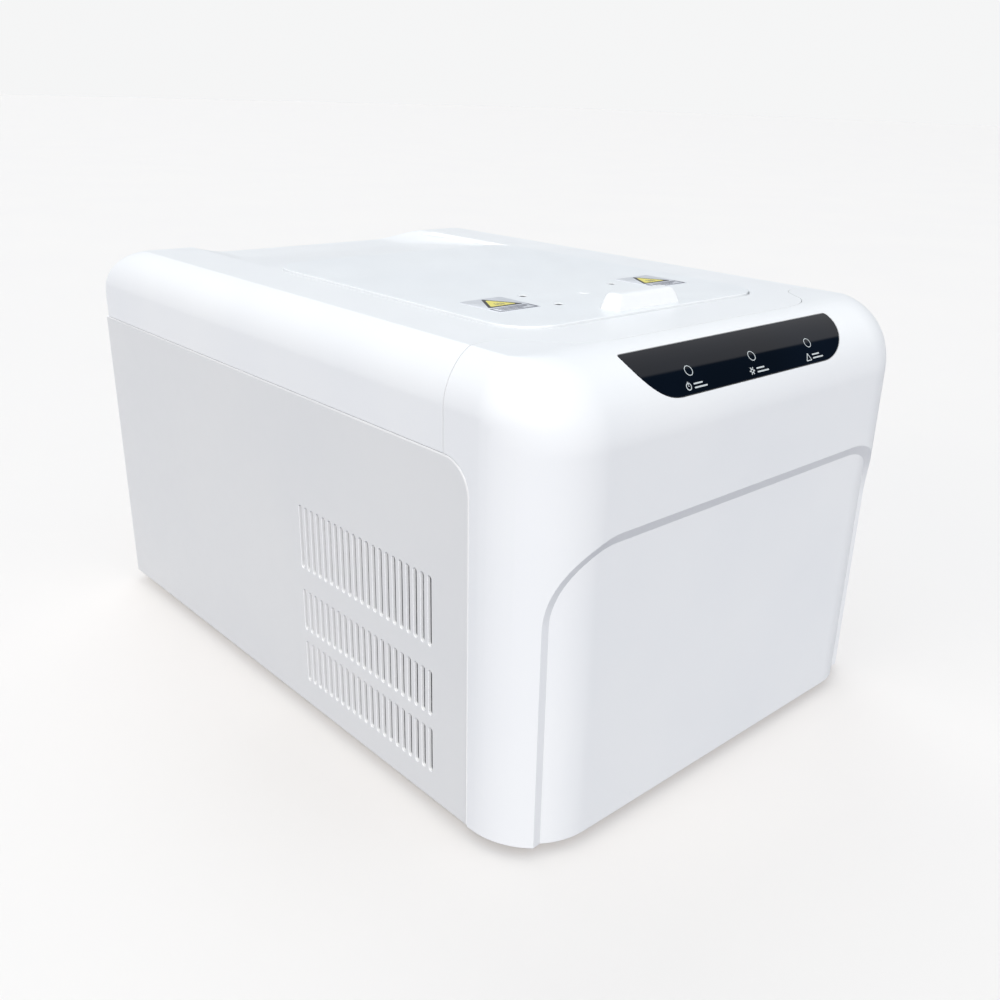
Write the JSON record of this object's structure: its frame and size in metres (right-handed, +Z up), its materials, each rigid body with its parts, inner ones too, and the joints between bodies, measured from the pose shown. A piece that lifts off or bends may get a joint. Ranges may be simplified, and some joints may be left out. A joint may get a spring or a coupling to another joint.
{
  "type": "benchtop real-time pcr thermal cycler",
  "caption": "Benchtop laboratory thermal cycler: white moulded housing with vented side panels, indicator lens and a rearward-sliding heated lid over a well block.",
  "frame": {"origin": "bottom centre of the housing's box: on the bench, under the middle of its width and depth", "axes": "+Z up from the feet, -Y out of the front with the indicator lens, +X to the right seen from the front"},
  "size_m": [0.32, 0.46, 0.269],
  "materials": {
    "white_shell": "satin moulded white",
    "panel_paint": "fine powder coat",
    "lens_black": "polished black",
    "clear_plastic": "clear",
    "circuit_board": "solder mask",
    "dark_steel": "blackened",
    "bright_steel": "ground",
    "zinc_sheet": "zinc plated",
    "plate_film": "brushed film",
    "hazard_yellow": "printed film",
    "aluminium": "machined",
    "heater_film": "polyimide film",
    "foam": "closed-cell foam",
    "rubber": "moulded",
    "peltier_ceramic": "ground ceramic",
    "black_plastic": "moulded black",
    "rocker_red": "moulded red",
    "brass": "turned",
    "socket_metal": "plated",
    "black_wire": "black paint"
  },
  "bodies": {
    "housing": {"foot_pads": "rubber", "base_tray": "zinc_sheet", "side_panel_left": "panel_paint", "side_panel_right": "panel_paint", "rear_panel": "panel_paint", "top_cover": "white_shell", "front_bezel": "white_shell", "indicator_lens": "lens_black", "light_pipes": "clear_plastic", "status_board": "circuit_board", "slide_rods": "bright_steel", "rod_brackets": "aluminium", "sample_block": "aluminium", "block_frame": "white_shell", "peltier_modules": "peltier_ceramic", "heat_sink": "aluminium", "fan_frame_left": "black_plastic", "fan_frame_right": "black_plastic", "sink_posts": "zinc_sheet", "fan_screws": "bright_steel", "optics_case": "black_plastic", "optics_cover": "black_plastic", "stepper_motor": "dark_steel", "detector": "zinc_sheet", "light_source": "aluminium", "fibre_bundle": "rubber", "power_supply": "zinc_sheet", "main_board": "circuit_board", "board_posts": "brass", "inlet_socket": "black_plastic", "rocker_housing": "black_plastic", "usb_socket": "socket_metal", "rear_guard": "black_wire", "panel_screws": "bright_steel"},
    "lid": {"lid_panel": "white_shell", "grip_block": "white_shell", "lid_screws": "dark_steel", "centre_plug": "white_shell", "hazard_plates": "plate_film", "hazard_triangles": "hazard_yellow", "lid_carriage": "zinc_sheet", "plate_springs": "bright_steel"},
    "hot_plate": {"heated_plate": "aluminium", "heater_mat": "heater_film", "plate_insulation": "foam"},
    "fan_left": {"fan_rotor_left": "black_plastic"},
    "fan_right": {"fan_rotor_right": "black_plastic"},
    "filters": {"filter_wheel": "aluminium", "wheel_shaft": "bright_steel"},
    "rocker": {"power_rocker": "rocker_red"}
  },
  "joints": [
    {"name": "lid_slide", "type": "slide", "parent": "housing", "child": "lid", "axis": [0, 1, 0], "range_m": [0, 0.105]},
    {"name": "plate_float", "type": "slide", "parent": "lid", "child": "hot_plate", "axis": [0, 0, 1], "range_m": [0, 0.003], "stiffness_N_per_m": 4000, "springref_m": -0.004, "deforming": ["plate_springs"]},
    {"name": "fan_left_spin", "type": "hinge", "parent": "housing", "child": "fan_left", "pos_m": [-0.042, -0.0945, 0.13], "axis": [0, 0, 1], "continuous": true},
    {"name": "fan_right_spin", "type": "hinge", "parent": "housing", "child": "fan_right", "pos_m": [0.042, -0.0945, 0.13], "axis": [0, 0, 1], "continuous": true},
    {"name": "filter_spin", "type": "hinge", "parent": "housing", "child": "filters", "pos_m": [0.08, 0.118, 0.12], "axis": [0, 1, 0], "continuous": true},
    {"name": "rocker_tilt", "type": "hinge", "parent": "housing", "child": "rocker", "pos_m": [-0.076, 0.222, 0.112], "axis": [1, 0, 0], "range_deg": [-18, 0]}
  ]
}
